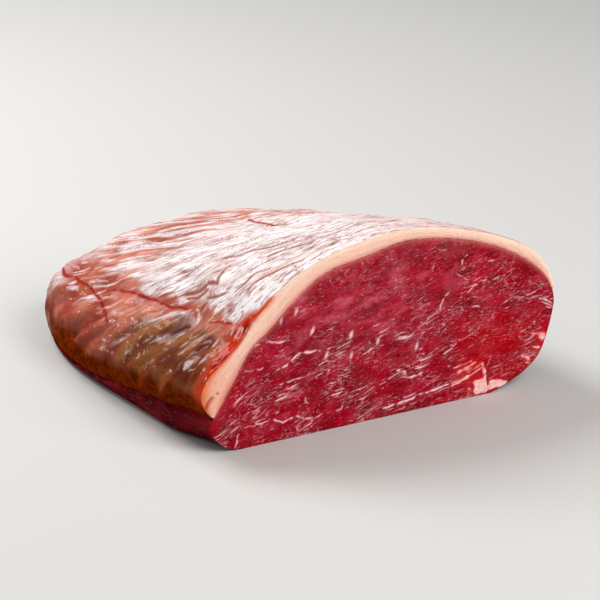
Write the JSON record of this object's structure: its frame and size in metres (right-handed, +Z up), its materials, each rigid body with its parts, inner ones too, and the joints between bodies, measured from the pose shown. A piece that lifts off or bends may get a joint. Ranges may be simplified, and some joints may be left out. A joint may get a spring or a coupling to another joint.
{
  "type": "roast beef joint",
  "caption": "Raw boneless beef roasting joint with a fresh cut face, lean crimson meat and a cap of pale fat over its top and flanks, tapering to a rounded far end.",
  "frame": {"origin": "under the middle of the joint's bounding box, on the surface that it rests on", "axes": "+Z up, -Y out of the cut face, +Y along the joint to its far end, -X towards the low lip of fat"},
  "size_m": [0.204, 0.215, 0.0933],
  "materials": {
    "lean_beef": "moist raw lean beef, deep crimson with fine pink marbling, wet gloss",
    "beef_fat": "raw beef fat, creamy peach where it is cut and salmon pink under a glossy silverskin outside"
  },
  "bodies": {
    "root": {"lean_meat": "lean_beef", "fat_cap": "beef_fat"}
  },
  "joints": []
}
